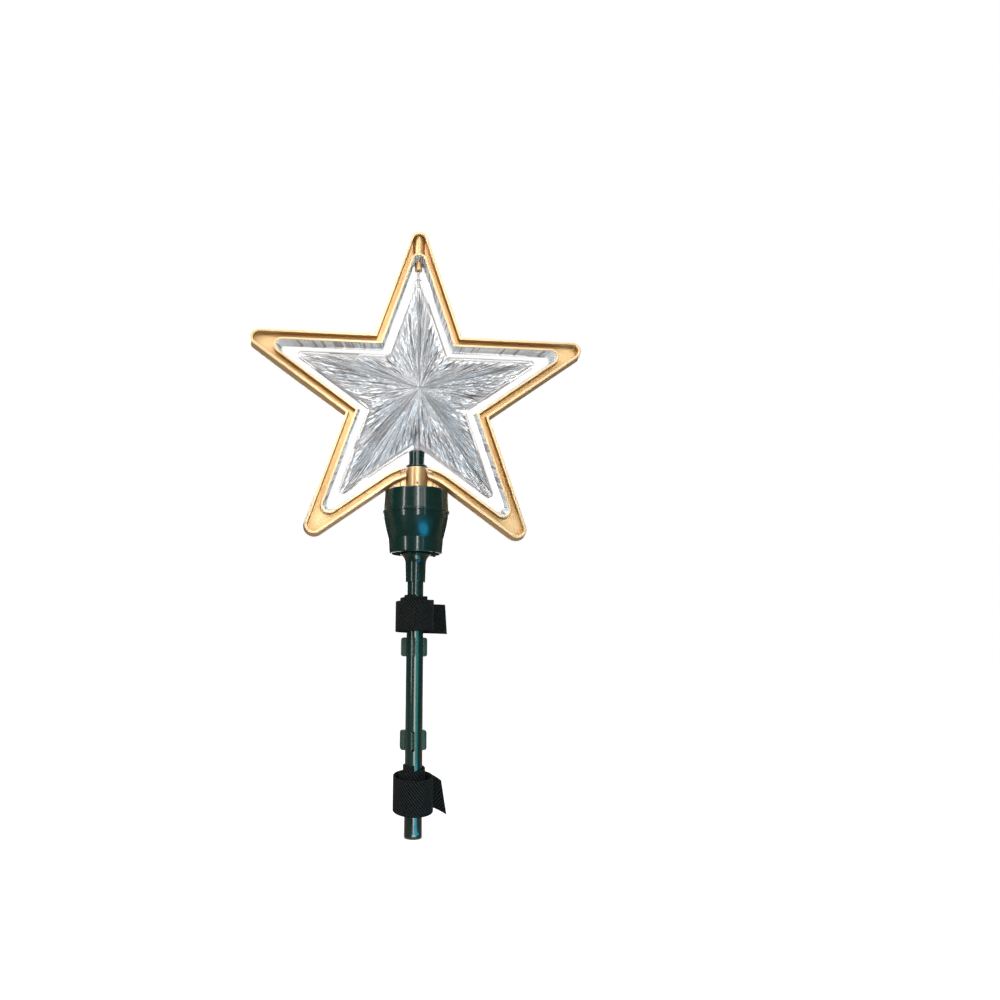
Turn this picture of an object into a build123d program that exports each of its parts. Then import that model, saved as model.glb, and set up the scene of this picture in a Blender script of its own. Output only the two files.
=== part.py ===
from build123d import *
import math
import os

os.makedirs("parts", exist_ok=True)

# Overall sizes: the origin is the centre of the pole's lower end, the star faces -Y
total_height = 533.4
star_width = 304.8
frame_depth = 18.0

# Gold star frame: apothem is the distance from the star's centre to an edge line
tip_radius = 9.5
inner_tip_radius = 5.5
wall_draft = 1.6
outer_rim = 2.2
inner_rim = 1.9
band_width = 9.0
web_front = 3.2
web_thickness = 1.5
inner_arch_radius = 48.0
window_half_width = 14.2
foot_radius = 4.7
foot_sink = 2.4
foot_depth = 8.0
foot_screw_depth = 4.0
post_radius = 3.2
post_from_tip = 14.0

# Clear light band and its lamps
band_depth = 16.0
band_rebate = 0.8
band_crown = 1.9
band_edge = 0.2
lamp_width = 2.4
lamp_depth = 2.2
lamp_height = 1.4
lamps_per_side = 5
lamp_margin = 0.25

# Top bearing and its pin
bearing_boss_radius = 6.2
bearing_sleeve_radius = 3.5
bearing_sleeve_length = 11.7
pin_radius = 1.0
pin_in_bearing = 9.0
pin_in_star = 9.0
pin_chamfer = 0.35

# Clear spinning star
spinner_gap = 7.75
spinner_tip_radius = 3.5
spinner_rim = 1.6
spinner_rim_width = 3.0
spinner_height = 24.0
spinner_wall = 2.6
spinner_web = 6.6
ridges_per_side = 5
ridge_depth = 1.1
apex_scale = 0.04

# Drive stem, coupling and hub
stem_radius = 3.0
stem_rise = 30.0
collar_radius = 5.5
collar_height = 1.2
coupling_radius = 7.25
coupling_height = 14.6
coupling_flange_radius = 9.9
coupling_flange = 1.3
coupling_spigot_radius = 5.2
coupling_spigot = 15.0
coupling_round = 1.0
stem_socket = 9.0
hub_radius = 9.55
hub_height = 21.0
hub_rib = 4.8
hub_rib_height = 17.0
hub_notch = 1.0
hub_notch_rise = 5.8
bush_wall = 1.5

# Housing: shoulder points are shares of the housing's radius and of the body's height
housing_drop = 19.9
housing_radius = 28.5
cap_height = 18.1
body_height = 37.0
cap_taper = 0.8
bead_reach = 0.9
bead_height = 2.0
shoulder_shares = ((0.984, 0.189), (0.918, 0.432), (0.839, 0.662))
bottom_share = 0.807
housing_wall = 2.0
housing_round = 1.0
cap_plate = 2.4
cap_spigot = 4.0
base_recess = 2.0
base_plate = 3.0
ledge_height = 2.5
ledge_width = 2.4

# Motor
motor_plate_drop = 11.0
motor_plate_thickness = 2.0
motor_base_gap = 3.8
motor_boss_radius = 4.0
motor_boss_height = 3.2
motor_ear_gap = 2.3
motor_ear_radius = 3.6
motor_round = 1.5
shaft_radius = 2.0
shaft_in_motor = 6.0
shaft_in_coupling = 10.0

# Neck and pole
pole_radius = 7.2
pole_wall = 1.2
stem_step = 0.3
stem_tube_wall = 1.3
spigot_length = 18.0
spigot_wall = 1.1
neck_length = 26.5
neck_straight = 16.0
neck_wall = 1.55
neck_taper = 0.5
neck_flange_share = 0.63
neck_flange = 2.9
neck_flare_radius = 9.0
neck_cover = 5.0
pole_top_share = 0.868

# Strap brackets: heights are shares of the pole's length below the neck
bracket_shares = (0.3644, 0.7341)
bracket_height_share = 0.0771
bracket_ear = 3.9
bracket_front = 3.0
bracket_wall = 2.6
bracket_corner = 1.5
bracket_round = 2.2
bracket_groove = 0.8
rivet_radius = 0.85
rivet_inset = 1.5

# Spring tab in the pole's wall in front of each bracket
tab_turn = 11.0
tab_width = 2.4
tab_share = 0.9
tab_depth = 0.4
tab_hole_radius = 0.9

# Hook-and-loop straps: widths and heights are shares of the pole's length, steps are outward at each half turn
strap_thickness = 1.2
upper_width_share = 0.1239
upper_top_share = 0.9463
upper_drop_share = 0.0156
upper_strap_steps = (1.2, 1.2, 3.3, 3.0, -1.4)
upper_strap_tail = 26.8
upper_tail_slant = 1.6
lower_width_share = 0.1317
lower_top_share = 0.2732
lower_drop_share = 0.0195
lower_strap_steps = (1.2, 1.2, 3.1, 3.6, -2.0)
lower_strap_tail = 26.0
lower_tail_slant = 4.5
quarter_turn = 90
gap_steps = 36

# Fasteners and cord exit
screw_radius = 1.4
screw_head_radius = 2.6
screw_head = 1.8
gland_turn = -27.5
gland_radius = 2.0
gland_flange_radius = 2.7
gland_flange = 1.2
gland_nozzle_radius = 1.2
gland_nozzle = 5.2

# Clearances
seat_gap = 0.05
slide_gap = 0.08
run_gap = 0.3
flange_gap = 0.6

# Values worked out from the sizes above
top_direction = 90
point_turn = 72
corner_turn = 36
point_angle = math.radians(point_turn)
corner_angle = math.radians(corner_turn)
half_depth = frame_depth / 2
edge_mid = tip_radius + (star_width / 2 - tip_radius) / math.tan(point_angle)
edge_front = edge_mid - wall_draft
edge_wall = edge_front - outer_rim
edge_inner = edge_front - band_width
edge_inner_wall = edge_inner + inner_rim
spinner_apothem = edge_inner - spinner_gap


def reach(apothem, radius):
    """Distance from the star's centre to a rounded tip."""
    return (apothem - radius) / math.cos(point_angle) + radius


star_z = total_height - reach(edge_mid, tip_radius)
housing_top = star_z - edge_mid / math.cos(corner_angle) - housing_drop
housing_seam = housing_top - cap_height
housing_bottom = housing_seam - body_height
hub_top = housing_top + hub_height
coupling_bottom = hub_top + flange_gap
coupling_top = coupling_bottom + coupling_height
inner_tip_z = star_z + reach(edge_inner, inner_tip_radius)
wall_tip_z = star_z + reach(edge_wall, tip_radius - wall_draft - outer_rim)
spinner_tip_z = star_z + reach(spinner_apothem, spinner_tip_radius)
bearing_bottom = inner_tip_z - bearing_sleeve_length
base_under = housing_bottom + base_recess
base_top = base_under + base_plate
plate_under = housing_seam - motor_plate_drop
plate_top = plate_under + motor_plate_thickness
hollow_half = web_front - web_thickness
cap_top_radius = housing_radius - cap_taper
cap_inner_top = cap_top_radius - housing_wall
cap_inner_seam = housing_radius - housing_wall
foot_circle = cap_inner_top - screw_head_radius - run_gap
foot_reach = math.sqrt(foot_circle ** 2 - (foot_depth / 2) ** 2)
foot_z = star_z - edge_mid / math.cos(corner_angle) - foot_reach * math.tan(corner_angle) - foot_sink
gusset_reach = (window_half_width + foot_reach) / 2
bead_radius = housing_radius + bead_reach
shoulder = [(radius * housing_radius, housing_seam - drop * body_height) for radius, drop in shoulder_shares]
bottom_radius = bottom_share * housing_radius
plate_radius = shoulder[0][0] - housing_wall
ledge_radius = plate_radius - ledge_width
skirt_radius = bottom_radius - housing_wall
motor_bottom = base_top + motor_base_gap
motor_ear_reach = ledge_radius - screw_head_radius - motor_ear_gap
motor_radius = motor_ear_reach - motor_ear_radius
stem_tube_radius = pole_radius - stem_step
neck_radius = stem_tube_radius + neck_wall
neck_shoulder_radius = neck_radius + neck_taper
neck_flange_radius = neck_flange_share * skirt_radius
neck_screw_circle = (stem_tube_radius + neck_flange_radius) / 2
gland_circle = (neck_flange_radius + skirt_radius) / 2
pole_length = base_under - neck_length
pole_top = pole_top_share * pole_length
bracket_height = bracket_height_share * pole_length
bracket_middles = [share * pole_length for share in bracket_shares]
bracket_width = 2 * (pole_radius + bracket_ear)
bracket_back = pole_radius + bracket_wall


def star_plane(depth):
    """Upright plane of the star, depth millimetres behind its middle."""
    return Plane(origin=(0, depth, star_z), x_dir=(1, 0, 0), z_dir=(0, -1, 0))


def star_corners(apothem, scale=1.0):
    """Ten corners of a five-pointed star, from the top tip anticlockwise."""
    corners = []
    for k in range(5):
        for turn, angle in ((0, point_angle), (corner_turn, corner_angle)):
            far = scale * apothem / math.cos(angle)
            direction = math.radians(top_direction + k * point_turn + turn)
            corners.append((far * math.cos(direction), far * math.sin(direction)))
    return corners


def plain_star(depth, apothem, scale=1.0):
    """Sharp star at a depth, drawn at a share of its size."""
    with BuildSketch(star_plane(depth)) as star:
        with BuildLine():
            Polyline(*star_corners(apothem, scale), close=True)
        make_face()
    return star.sketch


def rounded_star(depth, apothem, tip, arch=0.0):
    """Star with rounded tips and, where an arch is given, a rounded lowest inward corner."""
    with BuildSketch(star_plane(depth)) as star:
        with BuildLine():
            Polyline(*star_corners(apothem), close=True)
        make_face()
        fillet(star.vertices().sort_by(lambda v: math.hypot(v.X, v.Y))[-5:], tip)
        if arch:
            fillet(star.vertices().filter_by(lambda v: abs(v.X) < 0.01 and v.Y < 0), arch)
    return star.sketch


def star_prism(apothem, tip, arch, back, front, mode=Mode.ADD):
    """Straight star-shaped block between two depths."""
    extrude(rounded_star(back, apothem, tip, arch), amount=back - front, mode=mode)


def star_taper(back_size, back, front_size, front, mode=Mode.ADD):
    """Star-shaped block whose outline changes evenly between two depths."""
    loft([rounded_star(back, *back_size), rounded_star(front, *front_size)], ruled=True, mode=mode)


def arch_at(apothem):
    """Radius of the lowest inward corner, kept parallel to the inner rim."""
    return inner_arch_radius - (apothem - edge_inner)


def upright(radius, bottom, top, place=(0, 0), mode=Mode.ADD):
    """Vertical round bar between two heights."""
    with BuildSketch(Plane.XY.offset(bottom)) as disc:
        with Locations(place):
            Circle(radius)
    extrude(disc.sketch, amount=top - bottom, mode=mode)


def across(radius, from_y, to_y, place, mode=Mode.ADD):
    """Round bar along Y at a place given as X and Z."""
    with BuildSketch(Plane(origin=(0, from_y, 0), x_dir=(-1, 0, 0), z_dir=(0, 1, 0))) as disc:
        with Locations((-place[0], place[1])):
            Circle(radius)
    extrude(disc.sketch, amount=to_y - from_y, mode=mode)


def turned(*points):
    """Solid of revolution about the pole's axis from radius and height points."""
    with BuildSketch(Plane.XZ) as profile:
        with BuildLine():
            Polyline(*points, close=True)
        make_face()
    revolve(profile.sketch, axis=Axis.Z)


def tip_posts():
    """Places of the joining posts in the four side tips."""
    far = reach(edge_mid, tip_radius) - post_from_tip
    places = []
    for k in range(1, 5):
        direction = math.radians(top_direction + k * point_turn)
        places.append((far * math.cos(direction), star_z + far * math.sin(direction)))
    return places


def finish(builder, label):
    """Names a finished piece and writes it."""
    builder.part.label = label
    export_step(builder.part, f"parts/{label}.step")


# Half of the gold frame: channel open to the front, hollow behind its web
with BuildPart() as frame_half:
    star_taper((edge_mid, tip_radius, arch_at(edge_mid)), 0,
               (edge_front, tip_radius - wall_draft, arch_at(edge_front)), -half_depth)
    star_prism(edge_wall, tip_radius - wall_draft - outer_rim, arch_at(edge_wall),
               -web_front, -half_depth, Mode.SUBTRACT)
    star_prism(edge_inner_wall, inner_tip_radius + inner_rim, arch_at(edge_inner_wall),
               -web_front, -half_depth)
    for side in (-1, 1):
        with BuildSketch(Plane(origin=(0, 0, housing_top), x_dir=(1, 0, 0), z_dir=(0, -1, 0))):
            with Locations((side * (window_half_width + gusset_reach) / 2, hub_height / 2)):
                Rectangle(gusset_reach - window_half_width, hub_height)
        extrude(amount=web_thickness)
    star_prism(edge_wall, tip_radius - wall_draft - outer_rim, arch_at(edge_wall),
               0, -hollow_half, Mode.SUBTRACT)
    for place in tip_posts():
        across(post_radius, -hollow_half, 0, place)
        across(screw_radius, -hollow_half, 0, place, Mode.SUBTRACT)
    star_prism(edge_inner, inner_tip_radius, arch_at(edge_inner), 0, -half_depth, Mode.SUBTRACT)
    star_prism(edge_inner + band_rebate, inner_tip_radius + band_rebate, arch_at(edge_inner + band_rebate),
               0, -band_depth / 2, Mode.SUBTRACT)
    with BuildSketch(Plane.XY.offset(housing_top)):
        Rectangle(2 * (hub_radius + slide_gap), 2 * frame_depth)
    extrude(amount=2 * hub_height, mode=Mode.SUBTRACT)
    with BuildSketch(Plane.XY.offset(housing_top)):
        Rectangle(2 * window_half_width, 2 * web_front)
    extrude(amount=2 * hub_height, mode=Mode.SUBTRACT)
    upright(housing_radius + run_gap, housing_seam, housing_top, mode=Mode.SUBTRACT)
    upright(bearing_sleeve_radius + seat_gap, bearing_bottom, wall_tip_z, mode=Mode.SUBTRACT)
    upright(bearing_boss_radius + seat_gap, inner_tip_z + inner_rim, wall_tip_z, mode=Mode.SUBTRACT)

# Front half
with BuildPart() as front_frame:
    add(frame_half.part)
finish(front_frame, "front_frame")

# Rear half: the same form mirrored, with screw holes through its web and two round-topped feet
foot_places = [(-foot_reach, foot_depth / 2), (foot_reach, foot_depth / 2)]
with BuildPart() as rear_frame:
    mirror(frame_half.part, about=Plane.XZ)
    for place in tip_posts():
        across(screw_radius, 0, web_front, place, Mode.SUBTRACT)
    for side in (-1, 1):
        with BuildSketch(Plane(origin=(side * foot_reach, foot_depth, foot_z), x_dir=(1, 0, 0), z_dir=(0, -1, 0))):
            Circle(foot_radius)
            with Locations((0, (housing_seam - foot_z) / 2)):
                Rectangle(2 * foot_radius, foot_z - housing_seam)
        extrude(amount=foot_depth)
    upright(housing_radius + run_gap, housing_seam, housing_top, mode=Mode.SUBTRACT)
    for place in foot_places:
        upright(screw_radius, housing_top, housing_top + foot_screw_depth, place, Mode.SUBTRACT)
finish(rear_frame, "rear_frame")

# Screws that join the two halves, driven from the rear
with BuildPart() as frame_screws:
    for place in tip_posts():
        across(screw_radius - seat_gap, -hollow_half, web_front, place)
        across(screw_head_radius, web_front, web_front + screw_head, place)
finish(frame_screws, "frame_screws")

# Clear band that closes the hollow towards the spinning star, crowned along its middle
band_outer = edge_inner + band_rebate - seat_gap
band_outer_tip = inner_tip_radius + band_rebate - seat_gap
band_half = band_depth / 2 - seat_gap
with BuildPart() as light_band:
    star_prism(band_outer, band_outer_tip, arch_at(band_outer), band_half, -band_half)
    for side in (-1, 1):
        crest = edge_inner - band_crown
        edge = edge_inner - band_edge
        star_taper((crest, inner_tip_radius, arch_at(crest)), 0,
                   (edge, inner_tip_radius, arch_at(edge)), side * band_half, Mode.SUBTRACT)
    with BuildSketch(Plane.XY.offset(housing_top)):
        Rectangle(2 * window_half_width, 2 * frame_depth)
    extrude(amount=2 * hub_height, mode=Mode.SUBTRACT)
    upright(bearing_sleeve_radius + seat_gap, bearing_bottom, inner_tip_z + inner_rim, mode=Mode.SUBTRACT)
finish(light_band, "light_band")

# Lamps in a row behind the band, in the hollow between the two webs
with BuildPart() as led_lamps:
    lamp_line = star_corners(edge_inner + band_rebate + lamp_height / 2)
    for k in range(10):
        start = lamp_line[k]
        end = lamp_line[(k + 1) % 10]
        slope = math.degrees(math.atan2(end[1] - start[1], end[0] - start[0]))
        for j in range(1, lamps_per_side + 1):
            share = lamp_margin + (1 - 2 * lamp_margin) * j / (lamps_per_side + 1)
            spot = (start[0] + share * (end[0] - start[0]), start[1] + share * (end[1] - start[1]))
            with BuildSketch(star_plane(lamp_depth / 2)):
                with Locations(Location((spot[0], spot[1], 0), (0, 0, slope))):
                    Rectangle(lamp_width, lamp_height)
            extrude(amount=lamp_depth)
finish(led_lamps, "led_lamps")

# Bearing in the top point: a boss in the channel and a sleeve through the inner wall
with BuildPart() as top_bearing:
    upright(bearing_boss_radius, inner_tip_z + inner_rim, wall_tip_z)
    upright(bearing_sleeve_radius, bearing_bottom, inner_tip_z + inner_rim)
    upright(pin_radius + slide_gap, bearing_bottom, bearing_bottom + pin_in_bearing + run_gap,
            mode=Mode.SUBTRACT)
finish(top_bearing, "top_bearing")

# Steel pin on the spinning star's top tip
pin_bottom = spinner_tip_z - pin_in_star
with BuildPart() as top_pin:
    upright(pin_radius, pin_bottom, bearing_bottom + pin_in_bearing)
    chamfer(top_pin.edges().group_by(Axis.Z)[-1], pin_chamfer)
finish(top_pin, "top_pin")


def ridged_star(depth, apothem, scale):
    """Star outline folded into ridges, drawn at a share of its size."""
    corners = star_corners(apothem)
    points = []
    for k in range(10):
        start = corners[k]
        end = corners[(k + 1) % 10]
        run = (end[0] - start[0], end[1] - start[1])
        length = math.hypot(*run)
        inward = (-run[1] / length, run[0] / length)
        for j in range(ridges_per_side):
            crest = j / ridges_per_side
            groove = (j + 0.5) / ridges_per_side
            points.append((start[0] + crest * run[0], start[1] + crest * run[1]))
            points.append((start[0] + groove * run[0] + ridge_depth * inward[0],
                           start[1] + groove * run[1] + ridge_depth * inward[1]))
    with BuildSketch(star_plane(depth)) as star:
        with BuildLine():
            Polyline(*[(scale * x, scale * y) for x, y in points], close=True)
        make_face()
    return star.sketch


# Front shell of the clear star: ridges run from the rim to one apex, with a web down to the stem's collar
collar_top = coupling_top + collar_height
ridge_apothem = spinner_apothem - spinner_rim_width
web_bottom = collar_top + seat_gap
web_top = star_z - ridge_apothem / math.cos(corner_angle)
with BuildPart() as spinner_front:
    star_prism(spinner_apothem, spinner_tip_radius, 0, 0, -spinner_rim)
    with BuildSketch(star_plane(0)):
        with Locations((0, (web_bottom + web_top) / 2 - star_z)):
            Rectangle(2 * spinner_web, web_top - web_bottom)
    extrude(amount=spinner_rim)
    loft([ridged_star(-spinner_rim, ridge_apothem, 1.0),
          ridged_star(-spinner_height, ridge_apothem, apex_scale)], ruled=True)
    loft([plain_star(0, ridge_apothem - spinner_wall),
          plain_star(spinner_wall - spinner_height, ridge_apothem - spinner_wall, apex_scale)],
         ruled=True, mode=Mode.SUBTRACT)
    upright(collar_radius + seat_gap, coupling_top, collar_top + seat_gap, mode=Mode.SUBTRACT)
    upright(stem_radius + seat_gap, coupling_top, coupling_top + stem_rise + seat_gap, mode=Mode.SUBTRACT)
    upright(pin_radius + seat_gap, pin_bottom - seat_gap, total_height, mode=Mode.SUBTRACT)
finish(spinner_front, "spinner_front")

# Rear shell, the same moulding turned round
with BuildPart() as spinner_rear:
    mirror(spinner_front.part, about=Plane.XZ)
finish(spinner_rear, "spinner_rear")

# Clear stem that carries the spinning star in the coupling
with BuildPart() as spinner_stem:
    upright(stem_radius, coupling_top - stem_socket, coupling_top + stem_rise)
    upright(collar_radius, coupling_top, collar_top)
finish(spinner_stem, "spinner_stem")

# Green coupling: socket for the stem above, spigot on the motor shaft below
spigot_bottom = coupling_bottom - coupling_spigot
shaft_top = spigot_bottom + shaft_in_coupling
with BuildPart() as drive_coupling:
    upright(coupling_radius, coupling_bottom, coupling_top)
    fillet(drive_coupling.edges().group_by(Axis.Z)[-1], coupling_round)
    upright(coupling_flange_radius, coupling_bottom, coupling_bottom + coupling_flange)
    upright(coupling_spigot_radius, spigot_bottom, coupling_bottom)
    upright(stem_radius + seat_gap, coupling_top - stem_socket - seat_gap, coupling_top, mode=Mode.SUBTRACT)
    upright(shaft_radius + seat_gap, spigot_bottom, shaft_top + seat_gap, mode=Mode.SUBTRACT)
finish(drive_coupling, "drive_coupling")

# Gold hub on the housing, with a rib on each side and a drain notch in front
bush_outer = coupling_spigot_radius + slide_gap + bush_wall
rib_reach = window_half_width - slide_gap
with BuildPart() as hub_sleeve:
    upright(hub_radius, housing_top, hub_top)
    for side in (-1, 1):
        with BuildSketch(Plane.XY.offset(housing_top)):
            with Locations((side * rib_reach / 2, 0)):
                Rectangle(rib_reach, hub_rib)
        extrude(amount=hub_rib_height)
    upright(bush_outer + seat_gap, housing_top, hub_top, mode=Mode.SUBTRACT)
    across(hub_notch, -2 * hub_radius, -bush_outer, (0, housing_top + hub_notch_rise), Mode.SUBTRACT)
finish(hub_sleeve, "hub_sleeve")

# Plain bush in the hub
with BuildPart() as hub_bush:
    upright(bush_outer, housing_top, hub_top)
    upright(coupling_spigot_radius + slide_gap, housing_top, hub_top, mode=Mode.SUBTRACT)
finish(hub_bush, "hub_bush")

# Upper half of the green housing
with BuildPart() as housing_cap:
    turned((0, housing_top), (cap_top_radius, housing_top), (housing_radius, housing_seam),
           (cap_inner_seam, housing_seam), (cap_inner_seam, housing_seam - cap_spigot),
           (cap_inner_seam - housing_wall, housing_seam - cap_spigot),
           (cap_inner_seam - housing_wall, housing_seam + cap_spigot),
           (cap_inner_top, housing_seam + 2 * cap_spigot),
           (cap_inner_top, housing_top - cap_plate), (0, housing_top - cap_plate))
    fillet(housing_cap.edges().filter_by(GeomType.CIRCLE).group_by(Axis.Z)[-1], housing_round)
    upright(bush_outer, housing_top - cap_plate, housing_top, mode=Mode.SUBTRACT)
    for place in foot_places:
        upright(screw_radius, housing_top - cap_plate, housing_top, place, Mode.SUBTRACT)
finish(housing_cap, "housing_cap")

# Screws from inside the housing into the frame's feet
with BuildPart() as foot_screws:
    for place in foot_places:
        upright(screw_radius - seat_gap, housing_top - cap_plate, housing_top + foot_screw_depth, place)
        upright(screw_head_radius, housing_top - cap_plate - screw_head, housing_top - cap_plate, place)
finish(foot_screws, "foot_screws")

# Lower half of the housing: beaded rim, waisted shoulder and a base set up inside the skirt
gland_direction = math.radians(gland_turn)
gland_place = (gland_circle * math.cos(gland_direction), gland_circle * math.sin(gland_direction))
with BuildPart() as housing_body:
    with BuildSketch(Plane.XZ):
        with BuildLine():
            Polyline((0, housing_seam), (bead_radius, housing_seam), (bead_radius, housing_seam - bead_height),
                     (housing_radius, housing_seam - bead_height), shoulder[0])
            ThreePointArc(*shoulder)
            Polyline(shoulder[-1], (bottom_radius, housing_bottom), (0, housing_bottom), (0, housing_seam))
        make_face()
    revolve(axis=Axis.Z)
    fillet(housing_body.edges().filter_by(GeomType.CIRCLE).group_by(Axis.Z)[0], housing_round)
    upright(cap_inner_seam + seat_gap, housing_seam - cap_spigot, housing_seam, mode=Mode.SUBTRACT)
    upright(plate_radius, plate_under, housing_seam - cap_spigot, mode=Mode.SUBTRACT)
    upright(ledge_radius, plate_under - ledge_height, plate_under, mode=Mode.SUBTRACT)
    with BuildSketch(Plane.XZ):
        with BuildLine():
            Polyline((0, base_top), (skirt_radius, base_top), (shoulder[-1][0] - housing_wall, shoulder[-1][1]),
                     (ledge_radius, plate_under - ledge_height), (0, plate_under - ledge_height), close=True)
        make_face()
    revolve(axis=Axis.Z, mode=Mode.SUBTRACT)
    upright(skirt_radius, housing_bottom, base_under, mode=Mode.SUBTRACT)
    with BuildSketch(Plane.XY.offset(base_under)):
        with PolarLocations(neck_screw_circle, 3, 90):
            Circle(screw_radius)
        with Locations(gland_place):
            Circle(gland_radius + seat_gap)
    extrude(amount=base_plate, mode=Mode.SUBTRACT)
finish(housing_body, "housing_body")

# Plate that carries the motor, resting on the ledge inside the body
with BuildPart() as motor_plate:
    upright(plate_radius - slide_gap, plate_under, plate_top)
    with BuildSketch(Plane.XY.offset(plate_under)):
        Circle(motor_boss_radius + slide_gap)
        with Locations((-motor_ear_reach, 0), (motor_ear_reach, 0)):
            Circle(screw_radius)
    extrude(amount=motor_plate_thickness, mode=Mode.SUBTRACT)
finish(motor_plate, "motor_plate")

# Gear motor hung under the plate, its two ears drilled for the screws
with BuildPart() as gear_motor:
    upright(motor_radius, motor_bottom, plate_under)
    fillet(gear_motor.edges().group_by(Axis.Z)[0], motor_round)
    with BuildSketch(Plane.XY.offset(plate_under - motor_plate_thickness)):
        SlotCenterToCenter(2 * motor_ear_reach, 2 * motor_ear_radius)
    extrude(amount=motor_plate_thickness)
    upright(motor_boss_radius, plate_under, plate_under + motor_boss_height)
    with BuildSketch(Plane.XY.offset(plate_under - motor_plate_thickness)):
        with Locations((-motor_ear_reach, 0), (motor_ear_reach, 0)):
            Circle(screw_radius)
    extrude(amount=motor_plate_thickness, mode=Mode.SUBTRACT)
    upright(shaft_radius + slide_gap, plate_under + motor_boss_height - shaft_in_motor - run_gap,
            plate_under + motor_boss_height, mode=Mode.SUBTRACT)
finish(gear_motor, "gear_motor")

# Screws that hang the motor from its plate
with BuildPart() as motor_screws:
    for side in (-1, 1):
        ear = (side * motor_ear_reach, 0)
        upright(screw_radius - seat_gap, plate_under - motor_plate_thickness, plate_top, ear)
        upright(screw_head_radius, plate_top, plate_top + screw_head, ear)
finish(motor_screws, "motor_screws")

# Motor's output shaft, which turns the coupling
with BuildPart() as motor_shaft:
    upright(shaft_radius, plate_under + motor_boss_height - shaft_in_motor, shaft_top)
finish(motor_shaft, "motor_shaft")

# Flared neck under the housing, bored for the pole's upper tube
flange_bottom = base_under - neck_flange
bore_top = base_under - neck_cover
neck_shoulder = pole_length + neck_straight
with BuildPart() as neck_socket:
    with BuildSketch(Plane.XZ):
        with BuildLine():
            Polyline((0, pole_length), (neck_radius, pole_length), (neck_shoulder_radius, neck_shoulder))
            RadiusArc((neck_shoulder_radius, neck_shoulder), (neck_flange_radius, flange_bottom),
                      neck_flare_radius)
            Polyline((neck_flange_radius, flange_bottom), (neck_flange_radius, base_under),
                     (0, base_under), (0, pole_length))
        make_face()
    revolve(axis=Axis.Z)
    upright(stem_tube_radius + seat_gap, pole_length, bore_top, mode=Mode.SUBTRACT)
    with BuildSketch(Plane.XY.offset(base_under - neck_flange)):
        with PolarLocations(neck_screw_circle, 3, 90):
            Circle(screw_radius)
    extrude(amount=neck_flange, mode=Mode.SUBTRACT)
finish(neck_socket, "neck_socket")

# Screws from inside the body down into the neck's flange
with BuildPart() as neck_screws:
    with BuildSketch(Plane.XY.offset(base_under - neck_flange)):
        with PolarLocations(neck_screw_circle, 3, 90):
            Circle(screw_radius - seat_gap)
    extrude(amount=neck_flange + base_plate)
    with BuildSketch(Plane.XY.offset(base_top)):
        with PolarLocations(neck_screw_circle, 3, 90):
            Circle(screw_head_radius)
    extrude(amount=screw_head)
finish(neck_screws, "neck_screws")

# Rubber gland where the supply cord leaves the base
with BuildPart() as cord_gland:
    upright(gland_radius, base_under, base_top, gland_place)
    upright(gland_flange_radius, base_top, base_top + gland_flange, gland_place)
    upright(gland_flange_radius, base_under - gland_flange, base_under, gland_place)
    upright(gland_nozzle_radius, base_under - gland_nozzle, base_under - gland_flange, gland_place)
finish(cord_gland, "cord_gland")

# Upper tube of the pole, with a spigot that drops into the lower tube
spigot_radius = pole_radius - pole_wall - seat_gap
with BuildPart() as pole_stem:
    upright(stem_tube_radius, pole_top, bore_top)
    upright(stem_tube_radius - stem_tube_wall, pole_top, bore_top, mode=Mode.SUBTRACT)
    upright(spigot_radius, pole_top - spigot_length, pole_top)
    upright(spigot_radius - spigot_wall, pole_top - spigot_length, pole_top, mode=Mode.SUBTRACT)
finish(pole_stem, "pole_stem")

rivet_heights = []
for middle in bracket_middles:
    for side in (-1, 1):
        rivet_heights.append(middle + side * (bracket_height / 2 - rivet_inset))


def spring_tab(middle):
    """Flat tab set into the pole's front wall, with a hole at each end."""
    turn = math.radians(tab_turn)
    outward = (-math.sin(turn), -math.cos(turn))
    far = pole_radius - tab_depth
    face = Plane(origin=(far * outward[0], far * outward[1], middle),
                 x_dir=(math.cos(turn), -math.sin(turn), 0), z_dir=(*outward, 0))
    half = tab_share * bracket_height / 2
    with BuildSketch(face) as flat:
        Rectangle(tab_width, 2 * half)
    extrude(flat.sketch, amount=pole_wall, mode=Mode.SUBTRACT)
    with BuildSketch(face) as holes:
        with Locations((0, -half), (0, half)):
            Circle(tab_hole_radius)
    extrude(holes.sketch, amount=pole_wall, both=True, mode=Mode.SUBTRACT)


# Lower tube of the pole, with a spring tab in front of each bracket and rivet holes behind
with BuildPart() as pole_tube:
    upright(pole_radius, 0, pole_top)
    upright(pole_radius - pole_wall, 0, pole_top, mode=Mode.SUBTRACT)
    for middle in bracket_middles:
        spring_tab(middle)
    for height in rivet_heights:
        across(rivet_radius + seat_gap, 0, 2 * pole_radius, (0, height), Mode.SUBTRACT)
finish(pole_tube, "pole_tube")


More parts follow.
